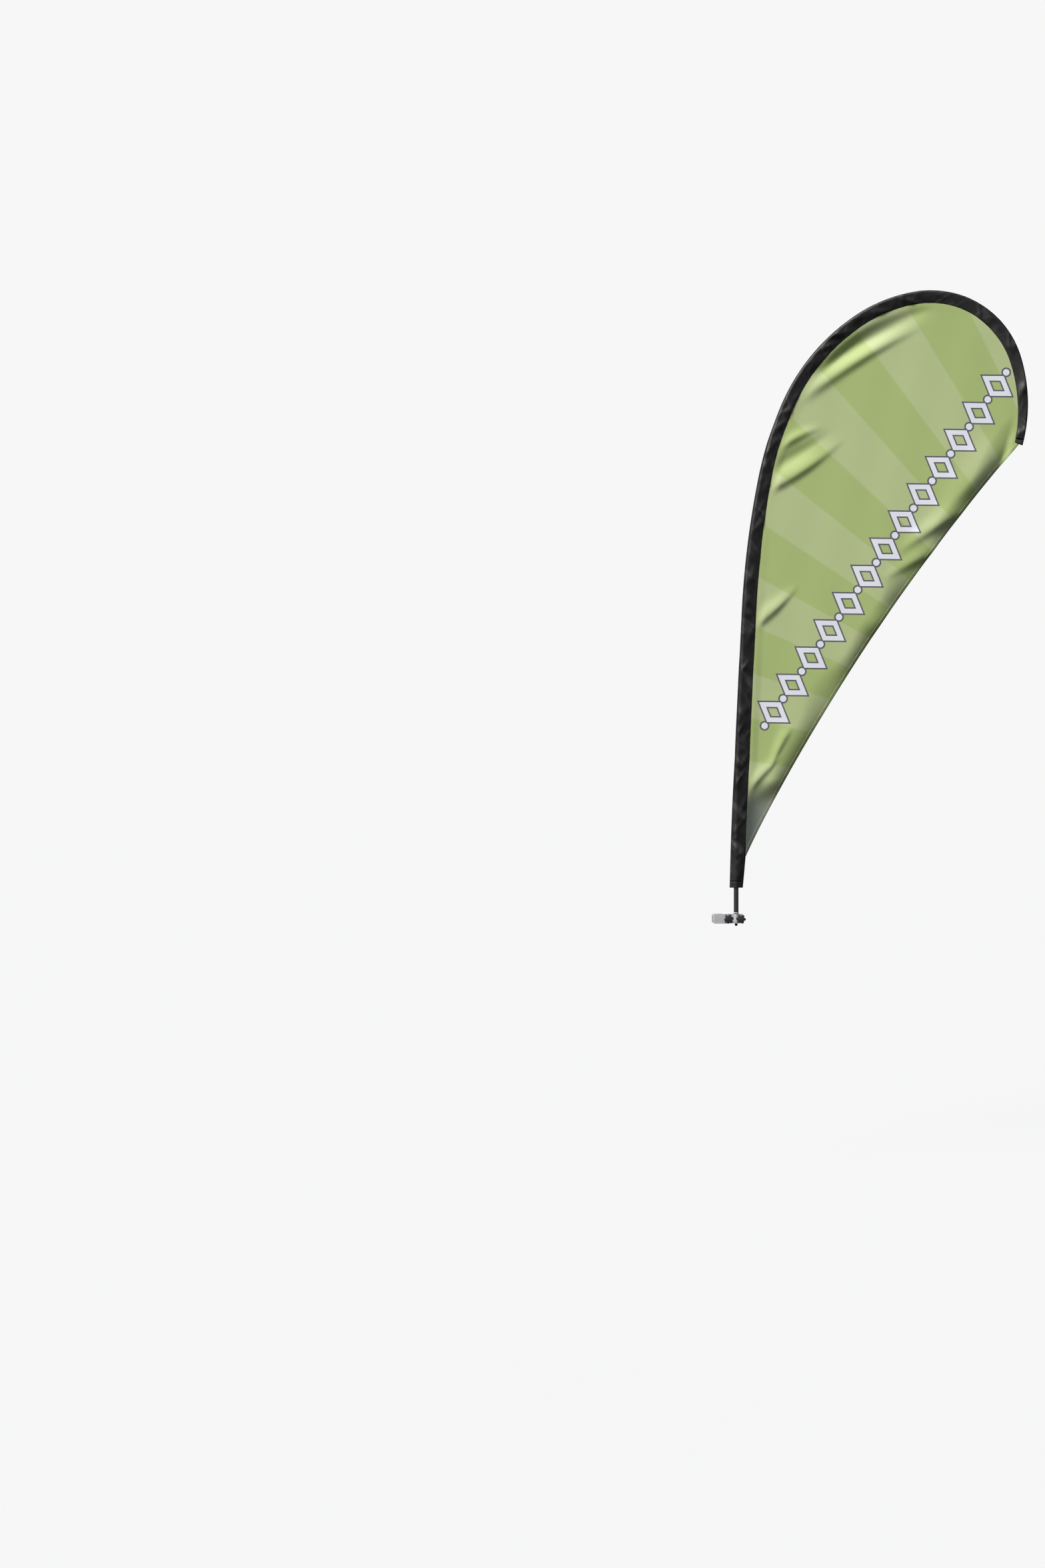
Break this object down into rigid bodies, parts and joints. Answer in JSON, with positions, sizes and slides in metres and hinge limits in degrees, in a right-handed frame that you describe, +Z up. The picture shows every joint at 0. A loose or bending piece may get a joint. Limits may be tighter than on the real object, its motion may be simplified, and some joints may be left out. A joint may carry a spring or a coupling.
{
  "type": "teardrop flag with a tent-leg bracket",
  "caption": "Teardrop-shaped fabric flag on a bent jointed pole that turns on a spindle held by a knob-tightened tent-leg bracket.",
  "frame": {"origin": "centre of the square tent leg's opening, at mid-height of the bracket's jaws", "axes": "+Z is up, along the leg and the spindle; the knobs face -Y; the flag reaches from the pole towards +X"},
  "size_m": [1.161, 0.0631, 2.3378],
  "materials": {
    "zinc_steel": "satin",
    "spindle_steel": "satin",
    "knob_plastic": "satin",
    "insert_brass": "satin",
    "cap_rubber": "matte",
    "washer_nylon": "satin",
    "black_nylon": "satin",
    "pole_fibre": "satin",
    "ferrule_metal": "satin",
    "elastic_cord": "matte",
    "sleeve_cloth": "matte",
    "panel_cloth": "matte",
    "hem_cloth": "matte"
  },
  "bodies": {
    "bracket": {"back_jaw": "zinc_steel", "clamp_bolts": "zinc_steel", "spindle": "spindle_steel", "spindle_end_cap": "cap_rubber"},
    "front": {"front_jaw": "zinc_steel", "knob_washers": "zinc_steel"},
    "left_knob_body": {"left_knob": "knob_plastic", "left_knob_insert": "insert_brass"},
    "right_knob_body": {"right_knob": "knob_plastic", "right_knob_insert": "insert_brass"},
    "swivel": {"thrust_washer": "washer_nylon"},
    "flag": {"foot_bush": "black_nylon", "guide_bush": "black_nylon", "base_pole": "pole_fibre", "joint_1_ferrule": "ferrule_metal", "joint_1_spigot": "pole_fibre", "lower_mid_pole": "pole_fibre", "joint_2_ferrule": "ferrule_metal", "joint_2_spigot": "pole_fibre", "upper_mid_pole": "pole_fibre", "joint_3_ferrule": "ferrule_metal", "joint_3_spigot": "pole_fibre", "tip_rod": "pole_fibre", "tip_cap": "cap_rubber", "loop_hook": "black_nylon", "elastic_loop": "elastic_cord", "loop_tab": "sleeve_cloth", "sleeve_hem": "sleeve_cloth", "pole_sleeve": "sleeve_cloth", "tip_pocket": "sleeve_cloth", "flag_panel": "panel_cloth", "trailing_hem": "hem_cloth"}
  },
  "joints": [
    {"name": "clamp_open", "type": "slide", "parent": "bracket", "child": "front", "axis": [0, -1, 0], "range_m": [0, 0.008]},
    {"name": "left_knob_turn", "type": "hinge", "parent": "front", "child": "left_knob_body", "pos_m": [0.034, -0.02, 0], "axis": [0, -1, 0], "range_deg": [0, 2880]},
    {"name": "right_knob_turn", "type": "hinge", "parent": "front", "child": "right_knob_body", "pos_m": [0.078, -0.02, 0], "axis": [0, -1, 0], "range_deg": [0, 2880]},
    {"name": "flag_turn", "type": "hinge", "parent": "bracket", "child": "swivel", "pos_m": [0.064, 0, 0.021], "axis": [0, 0, 1], "continuous": true},
    {"name": "flag_lift", "type": "slide", "parent": "swivel", "child": "flag", "axis": [0, 0, 1], "range_m": [0, 0.14]}
  ],
  "couplings": [
    {"joint": "left_knob_turn", "follows": "clamp_open", "rad_per_m": 6283},
    {"joint": "right_knob_turn", "follows": "clamp_open", "rad_per_m": 6283}
  ]
}
